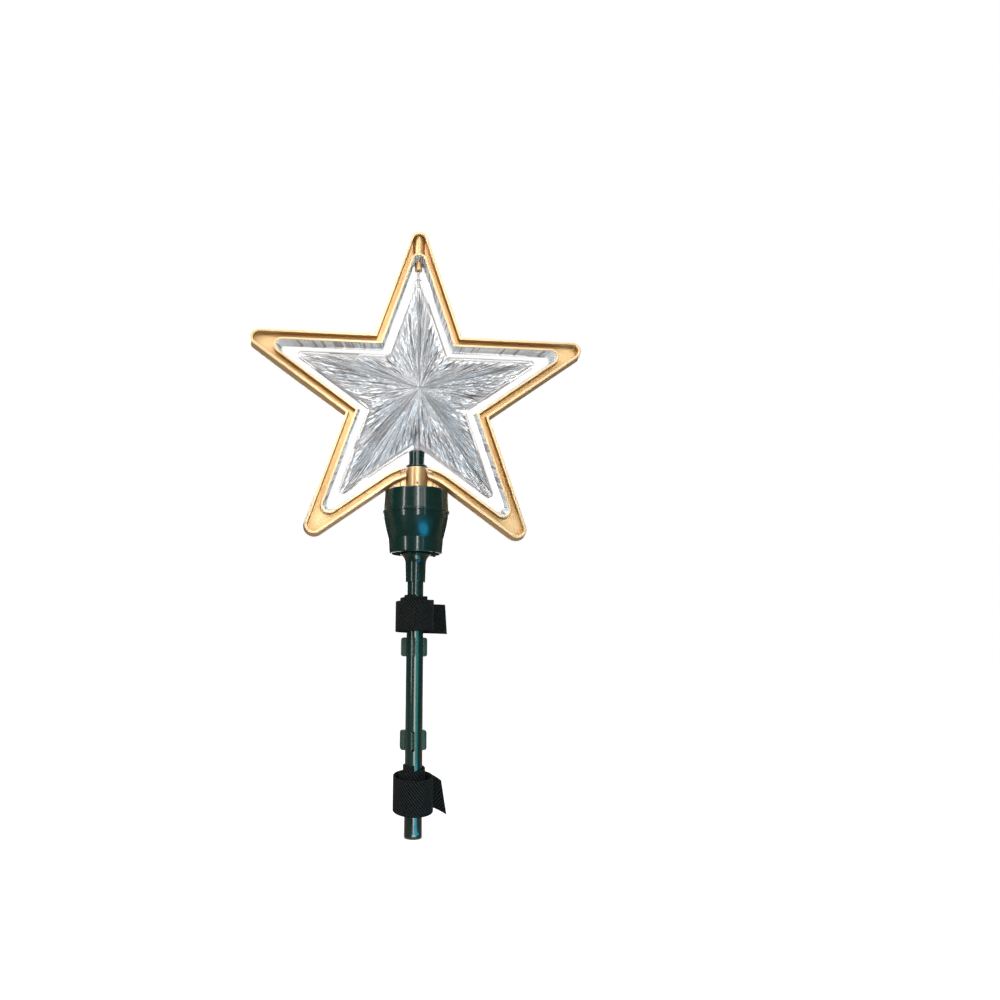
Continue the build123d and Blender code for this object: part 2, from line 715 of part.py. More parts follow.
def bracket(middle):
    """Saddle behind the pole, grooved on both ears and drilled for its rivets."""
    with BuildSketch(Plane.XY.offset(middle - bracket_height / 2)) as plan:
        with Locations((0, (bracket_front + bracket_back) / 2)):
            RectangleRounded(bracket_width, bracket_back - bracket_front, bracket_corner)
    extrude(plan.sketch, amount=bracket_height)
    with BuildSketch(Plane(origin=(0, bracket_back, middle), x_dir=(1, 0, 0), z_dir=(0, -1, 0))) as face:
        RectangleRounded(bracket_width, bracket_height, bracket_round)
    extrude(face.sketch, amount=bracket_back, mode=Mode.INTERSECT)
    upright(pole_radius + seat_gap, middle - bracket_height, middle + bracket_height, mode=Mode.SUBTRACT)
    ear_middle = (bracket_width / 2 + pole_radius) / 2
    for side in (-1, 1):
        upright(bracket_groove, middle - bracket_height / 2, middle + bracket_height / 2,
                (side * ear_middle, bracket_front), Mode.SUBTRACT)
    for height in rivet_heights:
        across(rivet_radius, 0, bracket_back, (0, height), Mode.SUBTRACT)


with BuildPart() as lower_bracket:
    bracket(bracket_middles[0])
finish(lower_bracket, "lower_bracket")

with BuildPart() as upper_bracket:
    bracket(bracket_middles[1])
finish(upper_bracket, "upper_bracket")

# Rivets that hold the brackets to the pole's rear wall
with BuildPart() as bracket_rivets:
    for height in rivet_heights:
        across(rivet_radius - seat_gap, pole_radius - pole_wall, bracket_back, (0, height))
finish(bracket_rivets, "bracket_rivets")


def strap_reaches(steps):
    """Inner reach of the strap at each half turn, alternately in front of the pole and behind it."""
    reaches = [pole_radius + run_gap]
    for step in steps:
        reaches.append(reaches[-1] + step)
    return reaches


def strap_half(top, first, second, k):
    """Half turn of the strap from one reach to the next, as one closed outline."""
    side = 1 if k % 2 == 0 else -1
    centre = (0, side * (first - second) / 2)
    inner = (first + second) / 2
    outer = inner + strap_thickness
    start = quarter_turn * side
    with BuildSketch(Plane(origin=(0, 0, top), x_dir=(1, 0, 0), z_dir=(0, 0, -1))) as half:
        with BuildLine():
            CenterArc(centre, inner, start, 2 * quarter_turn)
            CenterArc(centre, outer, start, 2 * quarter_turn)
            Line((0, centre[1] + side * inner), (0, centre[1] + side * outer))
            Line((0, centre[1] - side * inner), (0, centre[1] - side * outer))
        make_face()
    return half.sketch


def wound_strap(reaches, top_share, width_share, drop_share, tail, slant):
    """Strap wound as one strip, each turn a little lower than the last, with a free tail behind."""
    width = width_share * pole_length
    drop = drop_share * pole_length
    for k in range(len(reaches) - 1):
        top = top_share * pole_length - drop * (k // 2)
        extrude(strap_half(top, reaches[k], reaches[k + 1], k), amount=width)
    back = reaches[-1] + strap_thickness
    with BuildSketch(Plane(origin=(0, back, top - width), x_dir=(1, 0, 0), z_dir=(0, -1, 0))) as flap:
        with BuildLine():
            Polyline((0, 0), (tail, 0), (tail - slant, width), (0, width), close=True)
        make_face()
    extrude(flap.sketch, amount=strap_thickness)


def strap_gap(reaches):
    """Least gap between neighbouring turns, measured on points round each half turn."""
    least = math.inf
    for k in range(len(reaches) - 3):
        side = 1 if k % 2 == 0 else -1
        for step in range(gap_steps + 1):
            direction = math.radians(quarter_turn * (side + 2 * step / gap_steps))
            points = []
            for first, second, edge in ((k, k + 1, strap_thickness), (k + 2, k + 3, 0.0)):
                radius = (reaches[first] + reaches[second]) / 2 + edge
                middle = side * (reaches[first] - reaches[second]) / 2
                points.append((radius * math.cos(direction), middle + radius * math.sin(direction)))
            least = min(least, math.dist(*points))
    return least


upper_reaches = strap_reaches(upper_strap_steps)
lower_reaches = strap_reaches(lower_strap_steps)

with BuildPart() as upper_strap:
    wound_strap(upper_reaches, upper_top_share, upper_width_share, upper_drop_share,
                upper_strap_tail, upper_tail_slant)
finish(upper_strap, "upper_strap")

with BuildPart() as lower_strap:
    wound_strap(lower_reaches, lower_top_share, lower_width_share, lower_drop_share,
                lower_strap_tail, lower_tail_slant)
finish(lower_strap, "lower_strap")

print("least gap in the upper strap", round(strap_gap(upper_reaches), 2))
print("least gap in the lower strap", round(strap_gap(lower_reaches), 2))
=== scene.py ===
import bmesh
import bpy
import math
import random
from mathutils import Matrix, Vector


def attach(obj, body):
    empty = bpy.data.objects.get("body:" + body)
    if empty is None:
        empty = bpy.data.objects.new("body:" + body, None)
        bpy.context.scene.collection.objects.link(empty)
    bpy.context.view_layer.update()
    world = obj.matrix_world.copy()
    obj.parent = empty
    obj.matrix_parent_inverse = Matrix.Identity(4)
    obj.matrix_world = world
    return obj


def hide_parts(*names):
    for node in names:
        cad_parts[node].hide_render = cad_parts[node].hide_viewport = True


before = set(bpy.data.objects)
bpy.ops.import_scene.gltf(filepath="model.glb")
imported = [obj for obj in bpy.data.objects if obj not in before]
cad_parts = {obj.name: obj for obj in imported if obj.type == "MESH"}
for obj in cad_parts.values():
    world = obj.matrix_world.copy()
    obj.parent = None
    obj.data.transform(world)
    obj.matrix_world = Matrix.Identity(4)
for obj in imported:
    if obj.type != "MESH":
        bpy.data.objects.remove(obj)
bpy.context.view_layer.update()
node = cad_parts
MM = 0.001

# Sizes of the object in millimetres. An apothem is the distance from the star's centre to an edge line
STAR_Z = 373.65
STAR_POINTS = 5
STAR_CORNERS = 2 * STAR_POINTS
FRAME_APOTHEM = 45.331
BAND_HALF = 7.9
BAND_BACK = 0.7
BAND_TIP = 5.5
BAND_ARCH = 48.0
WINDOW_HALF = 14.2
SPINNER_APOTHEM = 37.581
SPINNER_TIP = 3.5
SPINNER_RIM = 1.6
SPINNER_RIM_WIDTH = 1.7
SPINNER_HEIGHT = 24.0
SPINNER_WALL = 2.6
SPINNER_WEB = 6.6
SPINNER_WEB_BOTTOM = 322.05
POLE_LENGTH = 205.0
STRAP_START = 7.5
STRAP_THICKNESS = 1.2

# Ribs of the clear band: its crown is a rise in millimetres at shares of its half depth
BAND_CROWN = ((-1.0, 0.25), (-0.8, 0.75), (-0.4, 1.5), (0.0, 1.9), (0.4, 1.5), (0.8, 0.75), (1.0, 0.25))
BAND_STEPS = 66
BAND_TIP_STEPS = 12
RIB_DEPTH = 0.85
# Rib tones are painted glints, light and dark, on the clear band
BAND_GLINT_TONES = (0.3, 0.6, 0.85, 0.85, 0.85, 0.95)
BAND_SEED = 3

# Prisms of the clear star. Shares run from centre to outline; tones, from dark over white to pale blue,
# are painted reflections and highlights
PRISMS_PER_EDGE = 12
PRISM_COLUMNS = STAR_CORNERS * PRISMS_PER_EDGE
PRISM_ROWS = 5
FIRST_SHARE = 0.03
SHARE_POWER = 0.9
ROW_PLACES = [k / PRISM_ROWS for k in range(PRISM_ROWS + 1)]
PRISM_SHARES = [FIRST_SHARE + (1 - FIRST_SHARE) * place ** SHARE_POWER for place in ROW_PLACES]
RIM_TIP_STEPS = 8
APEX_RISE = 1.0
SEAM = 0.06

# Chance in each prism: lift by its width, shift along by its reach, shift across and crest by its column
PRISM_LIFT = (0.14, 0.30)
PRISM_SHIFT_ACROSS = 0.16
PRISM_SHIFT_ALONG = 0.22
CREST_HALF = (0.05, 0.11)
# Crest and slope tones paint glints and dark reflection streaks on the facets
CREST_TONES = (0.05, 0.85, 0.85, 0.9, 0.98)
SLOPE_TONES = (0.04, 0.15, 0.30, 0.55, 0.70, 0.80, 0.85, 0.85, 0.85, 0.98)
TONE_SPREAD = 0.05
# Prisms low on the lower arms are painted lighter: painted light
LOW_ARM_PAINTED_LIGHT = 0.06
LOW_ARM_DROP = 12
LOW_ARM_SHARE = 0.2
RIM_TONE = 0.36
INNER_TONE = 0.7

# Webbing: steps along each half turn, along the tail and across, drops in all, and the round of its edges
STRAP_HALF_TURN_STEPS = 28
STRAP_TAIL_STEPS = 12
STRAP_ACROSS_STEPS = 8
STRAP_DROPS = 2
STRAP_EDGE = 0.3


def mesh_piece(name, points, faces, body, replaced, smooth=False):
    """New piece from points in millimetres, riding on a body in place of a CAD node."""
    mesh = bpy.data.meshes.new(name)
    mesh.from_pydata([Vector(p) * MM for p in points], [], faces)
    mesh.validate()
    for polygon in mesh.polygons:
        polygon.use_smooth = smooth
    piece = bpy.data.objects.new(name, mesh)
    bpy.context.scene.collection.objects.link(piece)
    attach(piece, body)
    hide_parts(replaced)
    return piece


def fix_normals(piece):
    """Turns all faces of a closed piece outwards."""
    work = bmesh.new()
    work.from_mesh(piece.data)
    bmesh.ops.recalc_face_normals(work, faces=work.faces)
    work.to_mesh(piece.data)
    work.free()


def tube_faces(rings, wide):
    """Faces of a tube through rings that are all the same number of points wide, with both ends closed."""
    faces = []
    for i in range(rings - 1):
        for j in range(wide):
            after = (j + 1) % wide
            faces.append((i * wide + j, i * wide + after, (i + 1) * wide + after, (i + 1) * wide + j))
    last = (rings - 1) * wide
    faces.append(tuple(range(wide - 1, -1, -1)))
    faces.append(tuple(range(last, last + wide)))
    return faces


def set_tones(piece, tones):
    """Gives each face its tone, which its material reads."""
    layer = piece.data.attributes.new("tone", "FLOAT", "FACE")
    for k, tone in enumerate(tones):
        layer.data[k].value = tone


# Materials, with the range in which most of a noise lies
NOISE_LOW = 0.3
NOISE_HIGH = 0.7


def shader(name, colour, roughness, **inputs):
    """New material, with its tree and its main shader."""
    made = bpy.data.materials.new(name)
    made.use_nodes = True
    tree = made.node_tree
    main = tree.nodes["Principled BSDF"]
    main.inputs["Base Color"].default_value = (*colour, 1)
    main.inputs["Roughness"].default_value = roughness
    for key, value in inputs.items():
        main.inputs[key.replace("_", " ")].default_value = value
    made.diffuse_color = (*colour, 1)
    return made, tree, main


def add_node(tree, kind, **values):
    """New node with its properties set."""
    made = tree.nodes.new(kind)
    for key, value in values.items():
        setattr(made, key, value)
    return made


def combine(tree, operation, *values):
    """Patterns and numbers brought together by one arithmetic node."""
    made = add_node(tree, "ShaderNodeMath", operation=operation)
    for socket, value in zip(made.inputs, values):
        if isinstance(value, float):
            socket.default_value = value
        else:
            tree.links.new(value, socket)
    return made.outputs["Value"]


def noise(tree, scale, detail, stretch=(1, 1, 1)):
    """Noise in object space, scale in features per metre."""
    place = add_node(tree, "ShaderNodeTexCoord")
    mapping = add_node(tree, "ShaderNodeMapping")
    mapping.inputs["Scale"].default_value = stretch
    made = add_node(tree, "ShaderNodeTexNoise")
    made.inputs["Scale"].default_value = scale
    made.inputs["Detail"].default_value = detail
    tree.links.new(place.outputs["Object"], mapping.inputs["Vector"])
    tree.links.new(mapping.outputs["Vector"], made.inputs["Vector"])
    return made.outputs["Fac"]


def remap(tree, value, start, end, low=0.0, high=1.0):
    """Pattern brought from one range to another."""
    made = add_node(tree, "ShaderNodeMapRange")
    for key, limit in (("From Min", start), ("From Max", end), ("To Min", low), ("To Max", high)):
        made.inputs[key].default_value = limit
    tree.links.new(value, made.inputs["Value"])
    return made.outputs["Result"]


def spread(tree, value, low, high, socket):
    """Leads the middle of a pattern's range into a socket, from low to high."""
    tree.links.new(remap(tree, value, NOISE_LOW, NOISE_HIGH, low, high), socket)


def ramp(tree, value, stops):
    """Colours along a pattern, at positions from 0 to 1."""
    made = add_node(tree, "ShaderNodeValToRGB")
    elements = made.color_ramp.elements
    while len(elements) < len(stops):
        elements.new(0.5)
    for element, (position, colour) in zip(elements, stops):
        element.position = position
        element.color = (*colour, 1)
    tree.links.new(value, made.inputs["Fac"])
    return made.outputs["Color"]


def tint(tree, value, dark, light, socket):
    """Leads a pattern into a colour socket, from dark to light."""
    tree.links.new(ramp(tree, value, ((NOISE_LOW, dark), (NOISE_HIGH, light))), socket)


def bump(tree, main, value, height, strength):
    """Leads a pattern into the shader's normal, height in millimetres."""
    made = add_node(tree, "ShaderNodeBump")
    made.inputs["Strength"].default_value = strength
    made.inputs["Distance"].default_value = height * MM
    tree.links.new(value, made.inputs["Height"])
    tree.links.new(made.outputs["Normal"], main.inputs["Normal"])
    return made


def soft_edge(tree, radius):
    """Normal that rounds sharp edges to a radius in millimetres."""
    made = add_node(tree, "ShaderNodeBevel", samples=6)
    made.inputs["Radius"].default_value = radius * MM
    return made.outputs["Normal"]


def gold_paint():
    """Satin gold finish on moulded plastic: painted shade, a deeper gold, in the recesses, and a pale
    painted highlight along the exposed edges.
    """
    bright = (0.84, 0.56, 0.265)
    painted_shade_gold = (0.56, 0.29, 0.08)
    painted_highlight_gold = (0.98, 0.87, 0.64)
    made, tree, main = shader("gold_paint", bright, 0.34, Metallic=0.65,
                              Coat_Weight=0.5, Coat_Roughness=0.25)
    # Ambient occlusion turns the gold deeper in recesses: painted shade, plus a little random tone from
    # noise
    shade_ao = add_node(tree, "ShaderNodeAmbientOcclusion", samples=6)
    shade_ao.inputs["Distance"].default_value = 9 * MM
    open_sky = shade_ao.outputs["AO"]
    tone_and_painted_shade = combine(tree, "MULTIPLY_ADD", noise(tree, 45, 4), 0.16, open_sky)
    edge = soft_edge(tree, 1.1)
    facing = add_node(tree, "ShaderNodeNewGeometry")
    turn = add_node(tree, "ShaderNodeVectorMath", operation="DOT_PRODUCT")
    tree.links.new(edge, turn.inputs[0])
    tree.links.new(facing.outputs["Normal"], turn.inputs[1])
    rounded_off = remap(tree, turn.outputs["Value"], 0.999, 0.95)
    # Pale gold on exposed rounded edges: a painted highlight along the rims
    wear_and_edge_sheen = combine(tree, "MULTIPLY", rounded_off, remap(tree, open_sky, 0.62, 0.85))
    paint = add_node(tree, "ShaderNodeMix", data_type="RGBA")
    paint.inputs["B"].default_value = (*painted_highlight_gold, 1)
    tree.links.new(wear_and_edge_sheen, paint.inputs["Factor"])
    tree.links.new(ramp(tree, tone_and_painted_shade, ((0.40, painted_shade_gold), (0.85, bright))), paint.inputs["A"])
    tree.links.new(paint.outputs["Result"], main.inputs["Base Color"])
    spread(tree, noise(tree, 260, 5), 0.28, 0.40, main.inputs["Roughness"])
    grain = bump(tree, main, noise(tree, 1400, 3), 0.015, 0.12)
    tree.links.new(edge, grain.inputs["Normal"])
    return made


def green_plastic():
    """Glossy dark green moulded plastic with a faint orange peel."""
    made, tree, main = shader("green_plastic", (0.0022, 0.0235, 0.0185), 0.30, Specular_IOR_Level=0.25,
                              Coat_Weight=1.0, Coat_Roughness=0.11)
    dark = (0.0018, 0.020, 0.0155)
    light = (0.0027, 0.0275, 0.0220)
    tint(tree, noise(tree, 60, 5), dark, light, main.inputs["Base Color"])
    spread(tree, noise(tree, 110, 6), 0.25, 0.35, main.inputs["Roughness"])
    peel = bump(tree, main, noise(tree, 420, 2), 0.02, 0.12)
    edge = soft_edge(tree, 0.7)
    tree.links.new(edge, peel.inputs["Normal"])
    tree.links.new(edge, main.inputs["Coat Normal"])
    return made


def clear_plastic(name, colour, roughness, clarity, ripple, height):
    """Clear moulded plastic, a little milky, with a faint ripple."""
    made, tree, main = shader(name, colour, roughness, Transmission_Weight=clarity, IOR=1.49)
    spread(tree, noise(tree, 300, 4), 0.6 * roughness, 1.5 * roughness, main.inputs["Roughness"])
    bump(tree, main, noise(tree, ripple, 2), height, 0.5)
    return made


def glint_painted_plastic(name, colour, roughness, clarity, ripple, height):
    """Clear plastic whose faces carry painted reflections and highlights by their tone: grey, white or a
    pale blue.
    """
    made = clear_plastic(name, colour, roughness, clarity, ripple, height)
    tree = made.node_tree
    tone = add_node(tree, "ShaderNodeAttribute", attribute_name="tone")
    # Tones pick painted reflections: dark and warm grey streaks, white highlights, a pale blue reflection
    stops = ((0.0, (0.10, 0.105, 0.12)), (0.25, (0.47, 0.43, 0.40)), (0.6, (0.90, 0.89, 0.88)),
             (0.85, (1.0, 1.0, 1.0)), (1.0, (0.72, 0.87, 1.0)))
    colours = ramp(tree, tone.outputs["Fac"], stops)
    tree.links.new(colours, tree.nodes["Principled BSDF"].inputs["Base Color"])
    return made


def plain_finish(name, dark, light, rough, scale, height, metallic=0.0, stretch=(1, 1, 1)):
    """Finish that varies a little in colour, gloss and relief."""
    made, tree, main = shader(name, light, rough, Metallic=metallic)
    tint(tree, noise(tree, scale / 6, 4, stretch), dark, light, main.inputs["Base Color"])
    spread(tree, noise(tree, scale / 3, 4, stretch), 0.8 * rough, 1.2 * rough, main.inputs["Roughness"])
    bump(tree, main, noise(tree, scale, 3, stretch), height, 0.5)
    return made


def strap_cloth():
    """Black twill webbing: diagonal ribs along the strip, from its own flat coordinates."""
    made, tree, main = shader("strap_cloth", (0.008, 0.008, 0.0085), 0.85, Specular_IOR_Level=0.03,
                              Sheen_Weight=0.01, Sheen_Roughness=0.5)
    place = add_node(tree, "ShaderNodeTexCoord")
    ribs = []
    for turn, rate in ((38.0, 1080.0), (-52.0, 1750.0)):
        mapping = add_node(tree, "ShaderNodeMapping")
        mapping.inputs["Rotation"].default_value = (0, 0, math.radians(turn))
        wave = add_node(tree, "ShaderNodeTexWave", wave_profile="SIN")
        wave.inputs["Scale"].default_value = rate / math.tau
        wave.inputs["Distortion"].default_value = 2.2
        wave.inputs["Detail"].default_value = 2.0
        tree.links.new(place.outputs["UV"], mapping.inputs["Vector"])
        tree.links.new(mapping.outputs["Vector"], wave.inputs["Vector"])
        ribs.append(wave.outputs["Fac"])
    weave = combine(tree, "MULTIPLY", *ribs)
    wear_and_edge_sheen = combine(tree, "MULTIPLY_ADD", noise(tree, 900, 4), 0.9, weave)
    fibre = combine(tree, "MULTIPLY", wear_and_edge_sheen, 0.62)
    tint(tree, fibre, (0.0006, 0.0008, 0.0008), (0.031, 0.035, 0.035), main.inputs["Base Color"])
    bump(tree, main, fibre, 0.35, 0.8)
    return made


GOLD = gold_paint()
GREEN = green_plastic()
DULL_GREEN = plain_finish("dull_green", (0.014, 0.046, 0.032), (0.019, 0.056, 0.040), 0.6, 420, 0.02)
STAR_CLEAR = glint_painted_plastic("star_clear", (0.80, 0.81, 0.84), 0.02, 0.80, 900, 0.004)
BAND_CLEAR = glint_painted_plastic("band_clear", (0.98, 0.985, 1.0), 0.08, 0.06, 700, 0.05)
STEM_CLEAR = clear_plastic("stem_clear", (0.84, 0.85, 0.88), 0.08, 0.75, 400, 0.02)
STEEL = plain_finish("steel", (0.50, 0.50, 0.51), (0.66, 0.66, 0.68), 0.25, 1800, 0.02, 1.0, (1, 1, 0.1))
LAMP = plain_finish("lamp_resin", (0.80, 0.76, 0.62), (0.90, 0.87, 0.76), 0.4, 900, 0.03)
NYLON = plain_finish("nylon", (0.74, 0.73, 0.69), (0.82, 0.81, 0.77), 0.45, 700, 0.03)
MOTOR = plain_finish("motor_case", (0.27, 0.28, 0.29), (0.34, 0.35, 0.36), 0.4, 500, 0.03, 0.6)
RUBBER = plain_finish("black_rubber", (0.010, 0.010, 0.010), (0.018, 0.018, 0.018), 0.6, 900, 0.05)
CLOTH = strap_cloth()

finishes = {
    "front_frame": GOLD, "rear_frame": GOLD, "hub_sleeve": GOLD, "top_bearing": GOLD,
    "housing_cap": GREEN, "housing_body": GREEN, "drive_coupling": GREEN, "neck_socket": GREEN,
    "pole_stem": GREEN, "pole_tube": GREEN, "upper_bracket": DULL_GREEN, "lower_bracket": DULL_GREEN,
    "motor_plate": GREEN, "spinner_stem": STEM_CLEAR, "top_pin": STEEL, "motor_shaft": STEEL,
    "frame_screws": STEEL, "foot_screws": STEEL, "motor_screws": STEEL, "neck_screws": STEEL,
    "bracket_rivets": STEEL, "led_lamps": LAMP, "hub_bush": NYLON, "gear_motor": MOTOR,
    "cord_gland": RUBBER,
}
for name, finish in finishes.items():
    node[name].data.materials.clear()
    node[name].data.materials.append(finish)


# Outlines of the star
def star_corners(apothem):
    """Ten corners of the star, from the top tip anticlockwise, in the star's plane."""
    corners = []
    for k in range(STAR_POINTS):
        for turn, angle in ((0, 72), (36, 36)):
            far = apothem / math.cos(math.radians(angle))
            direction = math.radians(90 + 72 * k + turn)
            corners.append(Vector((far * math.cos(direction), far * math.sin(direction))))
    return corners


def rounded(before, corner, after, radius, steps):
    """Points of a corner rounded to a radius, or the sharp corner where the radius is 0."""
    if not radius:
        return [corner]
    to_before = (before - corner).normalized()
    to_after = (after - corner).normalized()
    half = to_before.angle(to_after) / 2
    middle = corner + (to_before + to_after).normalized() * radius / math.sin(half)
    start = (corner + to_before * radius / math.tan(half) - middle).normalized()
    end = (corner + to_after * radius / math.tan(half) - middle).normalized()
    return [middle + start.slerp(end, k / steps) * radius for k in range(steps + 1)]


def star_path(apothem, tip, arch, edge_steps, tip_steps):
    """Closed star outline with rounded tips. An arch other than 0 rounds its lowest inward corner."""
    corners = star_corners(apothem)
    rounds = []
    for k, corner in enumerate(corners):
        radius = tip if k % 2 == 0 else (arch if k == STAR_POINTS else 0)
        rounds.append(rounded(corners[k - 1], corner, corners[(k + 1) % STAR_CORNERS], radius, tip_steps))
    path = []
    for k in range(STAR_CORNERS):
        path.extend(rounds[k])
        start = rounds[k][-1]
        end = rounds[(k + 1) % STAR_CORNERS][0]
        path.extend(start.lerp(end, j / edge_steps) for j in range(1, edge_steps))
    return path


def in_star(point, depth):
    """Point of the star's plane, at a depth behind its middle."""
    return (point[0], depth, STAR_Z + point[1])


# Clear band with cross ribs, crowned along its middle
def band_path(apothem):
    """One line along the band, at a distance from the star's centre."""
    return star_path(apothem, BAND_TIP, BAND_ARCH, BAND_STEPS, BAND_TIP_STEPS)


def ribbed_band():
    """Strip of clear ribs round the inside of the frame, open where the hub stands."""
    back = FRAME_APOTHEM + BAND_BACK
    section = [(back, BAND_HALF), (back, -BAND_HALF)]
    section += [(FRAME_APOTHEM - rise, share * BAND_HALF) for share, rise in BAND_CROWN]
    crests = [band_path(apothem) for apothem, _ in section]
    valleys = [band_path(apothem + RIB_DEPTH) for apothem, _ in section]
    outer = crests[0]
    kept = [k for k in range(len(outer)) if abs(outer[k].x) > WINDOW_HALF or outer[k].y > 0]
    first = next(i for i in range(len(kept)) if kept[i] != kept[i - 1] + 1 and kept[i] > 0)
    order = kept[first:] + kept[:first]
    wide = len(section)
    points = []
    for k in order:
        for j, (_, depth) in enumerate(section):
            source = valleys if k % 2 and 2 < j < wide - 1 else crests
            points.append(in_star(source[j][k], depth))
    faces = tube_faces(len(order), wide)
    piece = mesh_piece("clear_band_ribs", points, faces, "base", "light_band")
    # Each rib gets a painted glint tone
    chance = random.Random(BAND_SEED)
    rib_glint_tones = [chance.choice(BAND_GLINT_TONES) for _ in order]
    set_tones(piece, [rib_glint_tones[k // wide] for k in range(len(faces))])
    fix_normals(piece)
    piece.data.materials.append(BAND_CLEAR)


# Clear star: two shells of long staggered prisms that meet at an apex
RIDGE_CORNERS = star_corners(SPINNER_APOTHEM - SPINNER_RIM_WIDTH)


def ridge_point(position):
    """Point on the outline of the prisms, at a position counted in prisms from the top tip."""
    place = (position / PRISMS_PER_EDGE) % STAR_CORNERS
    k = int(place)
    return RIDGE_CORNERS[k].lerp(RIDGE_CORNERS[(k + 1) % STAR_CORNERS], place - k)


def on_dome(side, position, share, lift=0.0):
    """Point over the dome that the prisms stand on."""
    dome = SPINNER_HEIGHT - APEX_RISE - SPINNER_RIM
    return in_star(ridge_point(position) * share, side * (SPINNER_RIM + dome * (1 - share) + lift))


def add_prism(side, chance, row, column, corners, points, faces, tones):
    """One prism: two sloping sides and a narrow crest, each with a tone of its own that paints a
    reflection on it.
    """
    left, right, inner, outer = corners
    share = PRISM_SHARES[row]
    reach = PRISM_SHARES[row + 1] - PRISM_SHARES[row - 1]
    width = (ridge_point(column) - ridge_point(column + 1)).length * share
    lift = width * chance.uniform(*PRISM_LIFT)
    across = column + 0.5 * (row % 2) + 0.5 + chance.uniform(-PRISM_SHIFT_ACROSS, PRISM_SHIFT_ACROSS)
    along = share + reach * chance.uniform(-PRISM_SHIFT_ALONG, PRISM_SHIFT_ALONG)
    half = chance.uniform(*CREST_HALF)
    crest = len(points)
    points.append(on_dome(side, across - half, along, lift))
    points.append(on_dome(side, across + half, along, lift))
    sides = (((crest, outer, left), (crest, left, inner)),
             ((crest + 1, inner, right), (crest + 1, right, outer)),
             ((crest, inner, crest + 1), (crest, crest + 1, outer)))
    # Prisms on the lower arms get painted light, a lighter tone
    low_arm = points[crest][2] < STAR_Z - LOW_ARM_DROP and along > LOW_ARM_SHARE
    for pair, choices in zip(sides, (SLOPE_TONES, SLOPE_TONES, CREST_TONES)):
        tone = chance.choice(choices)
        for face in pair:
            shade = tone + chance.uniform(-TONE_SPREAD, TONE_SPREAD)
            tones[len(faces)] = shade + (LOW_ARM_PAINTED_LIGHT if low_arm else 0.0)
            faces.append(face)


def add_prisms(side, chance, points, faces, tones):
    """Outer face of one shell, from the apex out. Returns the line of points along its outline."""
    lattice = []
    for row, share in enumerate(PRISM_SHARES):
        lattice.append(range(len(points), len(points) + PRISM_COLUMNS))
        points.extend(on_dome(side, column + 0.5 * (row % 2), share) for column in range(PRISM_COLUMNS))
    apex = len(points)
    points.append(in_star((0, 0), side * SPINNER_HEIGHT))
    for column in range(PRISM_COLUMNS):
        faces.append((apex, lattice[0][column], lattice[0][(column + 1) % PRISM_COLUMNS]))
    for row, line in enumerate(lattice):
        for column in range(PRISM_COLUMNS):
            after = (column + 1) % PRISM_COLUMNS
            shift = after if row % 2 else column
            if row == 0:
                faces.append((line[column], lattice[row + 1][shift], line[after]))
            elif row == PRISM_ROWS:
                faces.append((line[column], line[after], lattice[row - 1][shift]))
            else:
                corners = (line[column], line[after], lattice[row - 1][shift], lattice[row + 1][shift])
                add_prism(side, chance, row, column, corners, points, faces, tones)
    return lattice[-1]


def join_loops(points, faces, first, second):
    """Fills the strip between two loops round the star's centre with triangles, in order of direction."""
    def direction(index):
        return (math.atan2(points[index][2] - STAR_Z, points[index][0]) - math.pi / 2) % math.tau

    first = sorted(first, key=direction)
    second = sorted(second, key=direction)
    i = 0
    j = 0
    while i < len(first) or j < len(second):
        a = first[i % len(first)]
        b = second[j % len(second)]
        turn_a = direction(first[i + 1]) if i + 1 < len(first) else math.tau
        turn_b = direction(second[j + 1]) if j + 1 < len(second) else math.tau
        if j >= len(second) or (i < len(first) and turn_a <= turn_b):
            faces.append((a, first[(i + 1) % len(first)], b))
            i += 1
        else:
            faces.append((a, second[(j + 1) % len(second)], b))
            j += 1


def add_rim(side, outline, points, faces, tones):
    """Flat rim round the prisms and its outer wall. Returns the wall's loop of points at the seam."""
    rim = star_path(SPINNER_APOTHEM, SPINNER_TIP, 0, PRISMS_PER_EDGE, RIM_TIP_STEPS)
    for corner in rim:
        if abs(corner.x) < SPINNER_WEB and corner.y < 0:
            corner.y = min(corner.y, SPINNER_WEB_BOTTOM - STAR_Z)
    count = len(rim)
    top = range(len(points), len(points) + count)
    points.extend(in_star(p, side * SPINNER_RIM) for p in rim)
    seam = range(len(points), len(points) + count)
    points.extend(in_star(p, side * SEAM) for p in rim)
    rim_start = len(faces)
    for k in range(count):
        after = (k + 1) % count
        faces.append((top[k], top[after], seam[after], seam[k]))
    join_loops(points, faces, top, outline)
    tones.update((k, RIM_TONE) for k in range(rim_start, len(faces)))
    return seam


def add_hollow(side, seam, points, faces):
    """Inside of one shell, and the flat land round it at the seam."""
    corners = star_corners(SPINNER_APOTHEM - SPINNER_RIM_WIDTH - SPINNER_WALL)
    mouth = range(len(points), len(points) + STAR_CORNERS)
    points.extend(in_star(p, side * SEAM) for p in corners)
    apex = len(points)
    points.append(in_star((0, 0), side * (SPINNER_HEIGHT - SPINNER_WALL)))
    for k in range(STAR_CORNERS):
        faces.append((apex, mouth[k], mouth[(k + 1) % STAR_CORNERS]))
    join_loops(points, faces, mouth, seam)


def prism_shell(name, replaced, side, seed):
    """One closed shell of the clear star, its outer face cut into prisms from the rim to the apex."""
    points = []
    faces = []
    tones = {}
    outline = add_prisms(side, random.Random(seed), points, faces, tones)
    seam = add_rim(side, outline, points, faces, tones)
    add_hollow(side, seam, points, faces)
    piece = mesh_piece(name, points, faces, "spinner", replaced)
    set_tones(piece, [tones.get(k, INNER_TONE) for k in range(len(faces))])
    fix_normals(piece)
    piece.data.materials.append(STAR_CLEAR)


